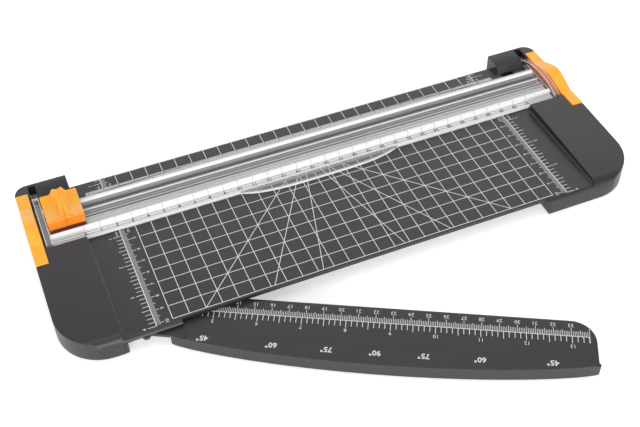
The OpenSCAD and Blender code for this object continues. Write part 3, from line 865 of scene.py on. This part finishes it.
def over_bead(sheet, x, wide):
    """A printed line that climbs over the round front bead of the rail."""
    front, rear = BEAD_Y - BEAD_ROUND, BEAD_Y + BEAD_ROUND
    path = [(BEAD_ENDS[0], 0.0), (front, 0.0), (front, BEAD_UP)]
    for degrees in BEAD_ARC:
        turn = math.radians(degrees)
        path.append((BEAD_Y + BEAD_ROUND * math.cos(turn), BEAD_UP + BEAD_ROUND * math.sin(turn)))
    path += [(rear, BEAD_UP), (rear, 0.0), (BEAD_ENDS[1], 0.0)]
    points = []
    for i, (y, z) in enumerate(path):
        before, after = path[max(i - 1, 0)], path[min(i + 1, len(path) - 1)]
        lean = Vector((0, before[1] - after[1], after[0] - before[0])).normalized()
        for side, lift in ((-0.5, 0.0), (0.5, 0.0), (0.5, INK_THICK), (-0.5, INK_THICK)):
            points.append(Vector((x + side * wide, y, z)) + lean * lift)
    faces = [(0, 1, 2, 3), tuple(4 * (len(path) - 1) + i for i in (3, 2, 1, 0))]
    for i in range(len(path) - 1):
        for k in range(4):
            m = (k + 1) % 4
            faces.append((4 * i + k, 4 * i + 4 + k, 4 * i + 4 + m, 4 * i + m))
    sheet.add(points, faces)


for reading in range(RAIL_LENGTH + 1):
    if reading % 10 == 0:
        over_bead(rail_print, reading, CM_LINE_WIDE)
        rail_print.words(
            str(reading // 10), reading, RAIL_NUMBER_Y, NUMBER_HIGH, turn=180.0, bold=True
        )
        if reading > 0:
            rail_print.line(reading, REAR_TICK[0], reading, REAR_TICK[1], REAR_TICK_WIDE)
    elif reading % 5 == 0:
        rail_print.line(reading, HALF_TICK[0], reading, HALF_TICK[1], RAIL_TICK_WIDE)
    rail_print.line(reading, FINE_TICK[0], reading, FINE_TICK[1], RAIL_TICK_WIDE)
rail_print.printed("rail_print", "rail", rail_place, dark_ink)


# The slider's dark shoe is one glossy plastic moulding that straddles the rail's
# ribs. Its front strip shows below the grip, and two coiled steel springs on it
# push the grip up.

SLIDER_MIDDLE = -163.1
STRIP_HALF = 11.3
STRIP_PROFILE = (
    (-7.2, 15.2), (-9.2, 15.2), (-9.3, 15.3), (-9.3, 16.25), (-9.12, 16.35), (-9.12, 16.5),
    (-9.3, 16.6), (-9.3, 17.5), (-9.2, 17.65), (-8.95, 17.65), (-8.95, 15.7), (-7.2, 15.7),
)
CRISP_FROM = 40.0

shoe_skin = moulded_plastic(
    "shoe_skin", (0.13, 0.01, 0.014), roughness=0.14, grain=1200.0, depth=0.006,
    plain={"Coat Weight": 0.6},
)
dress("slider_shoe", shoe_skin)
dress("blade_holder", shoe_skin)


def smooth_piece(name, body, points, faces, material):
    """A closed piece from points in millimetres, with smooth curves and crisp edges."""
    piece = closed_piece(name, body, [Vector(p) * MM for p in points], faces, material)
    piece.data.shade_smooth()
    piece.data.set_sharp_from_angle(angle=math.radians(CRISP_FROM))
    return piece


corners = len(STRIP_PROFILE)
strip = smooth_piece(
    "shoe_front_strip", "slider",
    [(SLIDER_MIDDLE + side * STRIP_HALF, y, z) for side in (-1, 1) for y, z in STRIP_PROFILE],
    [tuple(range(corners)), tuple(range(2 * corners - 1, corners - 1, -1))]
    + [(i, corners + i, corners + (i + 1) % corners, (i + 1) % corners) for i in range(corners)],
    shoe_skin,
)

for side in ("left", "right"):
    node = "spring_" + side
    spring = bpy.data.objects.new("return_" + node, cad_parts[node].data.copy())
    scene.collection.objects.link(spring)
    spring.data.materials.clear()
    spring.data.materials.append(bright_steel)
    spring.data.shade_smooth()
    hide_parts(node)
    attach(spring, "slider")
    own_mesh(spring)


# The grip is a hollow moulding of the same glossy orange as the end caps: two
# scooped wings for the fingers, and a ridge between them that is pinched in the
# middle and splits into two humps at the rear. It carries the blade's holder.

GRIP_HALF = 11.5
GRIP_FRONT, GRIP_REAR = -8.8, 15.6
EDGE_ROUND, CORNER_ROUND = 0.45, 1.0
ROUNDING_STEPS = (90, 67.5, 45, 22.5, 0)
WING_TOP, RIDGE_TOP = 25.0, 29.0
SCOOP_START, SCOOP_DEPTH = 0.05, 1.3
ROLL_SHARE, ROLL_DROP = 0.06, 0.6
WAIST_Y, WAIST_HALF = 4, 2
REAR_WIDER, FRONT_WIDER = 1.2, 2.6
CREST_Y, FRONT_CLIMB = -3.5, 2.8
WAIST_CURVE, CLIMB_CURVE, REAR_CURVE = 2.5, 1.6, 0.8
FLANK_WIDE = 2.5
VALLEY_HALF, VALLEY_WIDENS = 0.5, 0.12
VALLEY_DEPTH, VALLEY_DEEPENS = 0.2, 0.05
SOFTENING = (0.3, 0.6)
CREASE_HALF, CREASE_DEPTH = 0.42, 0.55
CREASE_CLEAR = 0.45
CREASE_END, CREASE_FADE = 1, 5
FRONT_FACE = 0.02
WALL_LOW, SIDE_LOW, CEILING = 18.0, 20.6, 22.7
HOLLOW_HALF, HOLLOW_FRONT, HOLLOW_REAR = 10.2, -7.6, 14.4


def wing_height(y):
    """Height of the wings: a shallow scoop that rolls over at the front edge."""
    along = (y - GRIP_FRONT) / (GRIP_REAR - GRIP_FRONT)
    roll = max(0.0, 1 - along / ROLL_SHARE)
    scoop = math.sin(math.pi * min(1.0, max(0.0, (along - SCOOP_START) / (1 - SCOOP_START))))
    return WING_TOP - SCOOP_DEPTH * scoop - ROLL_DROP * roll * roll


def ridge_half(y):
    """Half the width of the ridge's crest, which is pinched at the waist."""
    if y > WAIST_Y:
        return WAIST_HALF + REAR_WIDER * ((y - WAIST_Y) / (GRIP_REAR - WAIST_Y)) ** 2
    return WAIST_HALF + FRONT_WIDER * ((WAIST_Y - y) / (WAIST_Y - GRIP_FRONT)) ** WAIST_CURVE


def ridge_climb(y):
    """How far the ridge stands over the wings: steep at the front, then a long rise."""
    if y < CREST_Y:
        return FRONT_CLIMB * (1 - ((CREST_Y - y) / (CREST_Y - GRIP_FRONT)) ** CLIMB_CURVE)
    share = (y - CREST_Y) / (GRIP_REAR - CREST_Y)
    return FRONT_CLIMB + (RIDGE_TOP - WING_TOP - FRONT_CLIMB) * share**REAR_CURVE


def sharp_height(x, y):
    """Height of the grip's top before its edges are softened, x from its middle."""
    fall = max(0.0, 1 - max(0.0, abs(x) - ridge_half(y)) / FLANK_WIDE) ** 2
    behind = max(0.0, y)
    valley_half = VALLEY_HALF + VALLEY_WIDENS * behind
    valley = max(0.0, 1 - (x / valley_half) ** 2) * (VALLEY_DEPTH + VALLEY_DEEPENS * behind)
    return wing_height(y) + fall * (ridge_climb(y) - valley)


def soft_height(x, y):
    """The same top as the mould leaves it: a mean over a small disc."""
    spots = [(0.0, 0.0)]
    for reach in SOFTENING:
        for step in range(8):
            way = math.radians(45 * step)
            spots.append((reach * math.cos(way), reach * math.sin(way)))
    return sum(sharp_height(x + dx, y + dy) for dx, dy in spots) / len(spots)


def crease(x, y):
    """Depth of the fine line down the middle of the grip's front."""
    fade = min(1.0, max(0.0, (CREASE_END - y) / CREASE_FADE))
    return CREASE_DEPTH * max(0.0, 1 - abs(x) / CREASE_HALF) * fade


def stations(low, high, spacing):
    """Places from low to high, closer together where the edges are rounded."""
    rim = [EDGE_ROUND * (1 - math.sin(math.radians(a))) for a in ROUNDING_STEPS]
    inner_low, inner_high = low + EDGE_ROUND, high - EDGE_ROUND
    count = round((inner_high - inner_low) / spacing)
    between = [inner_low + (inner_high - inner_low) * i / count for i in range(1, count)]
    return [low + e for e in rim] + between + [high - e for e in reversed(rim)]


def grip_spot(x, y):
    """A point of the grip's skin for a place in its rectangle, with rounded rim and corners."""
    in_x = GRIP_HALF - abs(x)
    in_y = min(y - GRIP_FRONT, GRIP_REAR - y)
    inward = min(in_x, in_y)
    if in_x < CORNER_ROUND and in_y < CORNER_ROUND:
        out_x, out_y = CORNER_ROUND - in_x, CORNER_ROUND - in_y
        scale = max(out_x, out_y) / math.hypot(out_x, out_y)
        x = math.copysign(GRIP_HALF - CORNER_ROUND + out_x * scale, x)
        if y > 0:
            y = GRIP_REAR - CORNER_ROUND + out_y * scale
        else:
            y = GRIP_FRONT + CORNER_ROUND - out_y * scale
    drop = 0.0
    if inward < EDGE_ROUND:
        drop = EDGE_ROUND - math.sqrt(EDGE_ROUND**2 - (EDGE_ROUND - inward) ** 2)
    z = min(soft_height(x, y) - crease(x, y), RIDGE_TOP) - drop
    if y < GRIP_FRONT + FRONT_FACE:
        y += crease(x, y)
    return x, y, z


SPACING = 0.4
columns = [x for x in stations(-GRIP_HALF, GRIP_HALF, SPACING) if abs(x) > CREASE_CLEAR]
columns = sorted(columns + [i * CREASE_HALF / 2 for i in range(-2, 3)])
rows = stations(GRIP_FRONT, GRIP_REAR, SPACING)
across, deep = len(columns), len(rows)
grip_points = [grip_spot(x, y) for y in rows for x in columns]
grip_faces = [
    (j * across + i, j * across + i + 1, (j + 1) * across + i + 1, (j + 1) * across + i)
    for j in range(deep - 1) for i in range(across - 1)
]
rim_loop = list(range(across))
rim_loop += [j * across + across - 1 for j in range(1, deep)]
rim_loop += [(deep - 1) * across + i for i in range(across - 2, -1, -1)]
rim_loop += [j * across for j in range(deep - 2, 0, -1)]
around = len(rim_loop)
rim_points = [grip_points[k] for k in rim_loop]
for level in ("outer foot", "inner foot", "ceiling"):
    for x, y, z in rim_points:
        z = SIDE_LOW if HOLLOW_FRONT <= y <= HOLLOW_REAR else WALL_LOW
        if level != "outer foot":
            x = min(max(x, -HOLLOW_HALF), HOLLOW_HALF)
            y = min(max(y, HOLLOW_FRONT), HOLLOW_REAR)
        if level == "ceiling":
            z = CEILING
        grip_points.append((x, y, z))
rings = [rim_loop]
rings += [[across * deep + n * around + i for i in range(around)] for n in range(3)]
for upper, lower in zip(rings, rings[1:]):
    grip_faces += [
        (upper[i], lower[i], lower[(i + 1) % around], upper[(i + 1) % around])
        for i in range(around)
    ]
grip_faces.append(tuple(rings[3]))

grip_orange = glossy_orange("grip_orange", (1.0, 0.42, 0.012))
# The grip's front and rear walls get a painted shade of deeper orange.
deepen(grip_orange, "Y", start=0.12, full=0.65, deep=(1.0, 0.27, 0.012))

grip = smooth_piece(
    "slider_pull", "grip",
    [(x + SLIDER_MIDDLE, y, z) for x, y, z in grip_points], grip_faces, grip_orange,
)
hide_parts("slider_grip")
